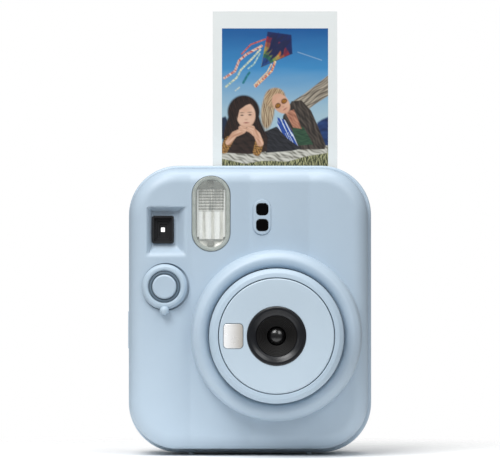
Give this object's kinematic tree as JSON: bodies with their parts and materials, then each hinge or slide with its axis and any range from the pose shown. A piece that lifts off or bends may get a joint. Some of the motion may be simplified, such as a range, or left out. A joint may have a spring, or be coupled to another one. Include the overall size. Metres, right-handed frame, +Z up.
{
  "type": "instant camera",
  "caption": "Pastel instant camera with a telescoping lens, flash, viewfinder, film pack and roller drive, with a developed print standing in its exit slot.",
  "frame": {"origin": "centre of the footprint on the plane of the feet", "axes": "+X to the right seen from the front, -Y out of the lens towards the viewer, +Z up along the ejected print"},
  "size_m": [0.1044, 0.076, 0.1913],
  "materials": {
    "shell_blue": "fine matte",
    "ring_blue": "fine matte",
    "disc_blue": "fine matte",
    "button_grey": "fine matte",
    "black_matte": "matte",
    "black_gloss": "polished",
    "dark_gear": "moulded",
    "clear": "polished",
    "lens_glass": "coated and polished",
    "mirror_silver": "polished",
    "reflector_silver": "metallised",
    "steel": "satin",
    "roller_rubber": "ground",
    "can_metal": "satin",
    "cell_wrap": "glossy sleeve",
    "board_green": "solder mask",
    "print_white": "coated, semi-gloss",
    "picture_film": "glossy emulsion",
    "foot_pale": "matte"
  },
  "bodies": {
    "case": {"front_cover": "shell_blue", "rear_cover": "shell_blue", "door_hinge_pin": "steel", "battery_tray": "black_matte", "battery_cells": "cell_wrap", "battery_contacts": "steel", "barrel_guide": "black_matte", "light_baffle": "black_matte", "viewfinder_hood": "black_matte", "viewfinder_front_lens": "clear", "viewfinder_tube": "black_matte", "eyepiece_lens": "clear", "eyecup": "black_matte", "flash_window": "clear", "flash_reflector": "reflector_silver", "flash_tube": "clear", "flash_capacitor": "can_metal", "sensor_bezel": "shell_blue", "sensor_windows": "black_gloss", "shutter_button_spring": "steel", "shutter_switch": "black_matte", "button_collar": "button_grey", "main_board": "board_green", "flash_board": "board_green", "drive_motor": "can_metal", "idler_pin": "steel", "roller_frame": "steel", "film_pack_case": "black_matte", "film_stack": "picture_film", "pack_pressure_plate": "steel", "counter_window": "clear", "exit_slot_liner": "black_matte", "feet": "foot_pale", "case_screws": "steel"},
    "focus_ring": {"lens_ring": "ring_blue"},
    "barrel": {"lens_barrel": "disc_blue", "lens_bezel": "black_gloss", "front_lens": "lens_glass", "rear_lens": "lens_glass", "lens_cell": "black_matte", "selfie_mirror": "mirror_silver", "aperture_plate": "steel", "shutter_plate": "steel"},
    "blade": {"shutter_blade": "black_matte"},
    "back_door": {"film_door": "shell_blue", "pack_pads": "roller_rubber"},
    "latch": {"door_latch": "button_grey"},
    "side_door": {"battery_door": "shell_blue"},
    "button": {"shutter_button": "button_grey"},
    "self_timer": {"timer_ring": "ring_blue"},
    "print": {"print_sheet": "print_white", "print_picture": "picture_film"},
    "drive": {"drive_roller": "steel", "drive_gear": "dark_gear"},
    "pinch": {"pinch_roller": "roller_rubber", "pinch_gear": "dark_gear"},
    "idler": {"idler_gear": "dark_gear"},
    "pinion": {"motor_pinion": "dark_gear"},
    "claw": {"film_claw": "steel"},
    "counter": {"counter_disc": "print_white"}
  },
  "joints": [
    {"name": "lens_ring_turn", "type": "hinge", "parent": "barrel", "child": "focus_ring", "pos_m": [0.01125, -0.037, 0.0511], "axis": [0, 1, 0], "range_deg": [0, 60]},
    {"name": "barrel_slide", "type": "slide", "parent": "case", "child": "barrel", "axis": [0, 1, 0], "range_m": [0, 0.0101]},
    {"name": "shutter_blade_swing", "type": "hinge", "parent": "barrel", "child": "blade", "pos_m": [0.01675, -0.0268, 0.0511], "axis": [0, 1, 0], "range_deg": [0, 60], "stiffness_Nm_per_rad": 0.0002, "springref_deg": -5.73},
    {"name": "film_door_hinge", "type": "hinge", "parent": "case", "child": "back_door", "pos_m": [0.0486, 0.036, 0.059], "axis": [0, 0, -1], "range_deg": [0, 100]},
    {"name": "door_latch_slide", "type": "slide", "parent": "back_door", "child": "latch", "axis": [0, 0, -1], "range_m": [0, 0.003]},
    {"name": "battery_door_hinge", "type": "hinge", "parent": "case", "child": "side_door", "pos_m": [-0.0516, 0.0292, 0.044], "axis": [0, 0, -1], "range_deg": [0, 90]},
    {"name": "shutter_button_press", "type": "slide", "parent": "case", "child": "button", "axis": [0, 1, 0], "range_m": [0, 0.0015], "stiffness_N_per_m": 400, "springref_m": -0.0008, "deforming": ["shutter_button_spring"]},
    {"name": "self_timer_turn", "type": "hinge", "parent": "case", "child": "self_timer", "pos_m": [-0.0361, -0.012, 0.0717], "axis": [0, 1, 0], "range_deg": [-30, 30]},
    {"name": "print_feed", "type": "slide", "parent": "case", "child": "print", "axis": [0, 0, 1], "range_m": [-0.0928, 0.025]},
    {"name": "drive_roller_spin", "type": "hinge", "parent": "case", "child": "drive", "pos_m": [0.0108, 0.0217, 0.104], "axis": [1, 0, 0], "range_deg": [-1777, 482]},
    {"name": "pinch_roller_spin", "type": "hinge", "parent": "case", "child": "pinch", "pos_m": [0.0108, 0.0283, 0.104], "axis": [1, 0, 0], "range_deg": [-482, 1777]},
    {"name": "idler_spin", "type": "hinge", "parent": "case", "child": "idler", "pos_m": [-0.02475, 0.0127, 0.09465], "axis": [1, 0, 0], "range_deg": [-168, 609]},
    {"name": "pinion_spin", "type": "hinge", "parent": "case", "child": "pinion", "pos_m": [-0.02475, 0.0097, 0.08315], "axis": [1, 0, 0], "range_deg": [-2664, 721]},
    {"name": "film_claw_stroke", "type": "slide", "parent": "case", "child": "claw", "axis": [0, 0, 1], "range_m": [0, 0.009]},
    {"name": "counter_turn", "type": "hinge", "parent": "case", "child": "counter", "pos_m": [-0.036, 0.031, 0.08], "axis": [0, 1, 0], "range_deg": [-30, 10]}
  ],
  "couplings": [
    {"joint": "barrel_slide", "follows": "lens_ring_turn", "m_per_rad": 0.0095},
    {"joint": "drive_roller_spin", "follows": "print_feed", "rad_per_m": 333.33},
    {"joint": "pinch_roller_spin", "follows": "print_feed", "rad_per_m": -333.33},
    {"joint": "idler_spin", "follows": "print_feed", "rad_per_m": -113.64},
    {"joint": "pinion_spin", "follows": "print_feed", "rad_per_m": 500},
    {"joint": "counter_turn", "follows": "print_feed", "rad_per_m": 5.236}
  ]
}
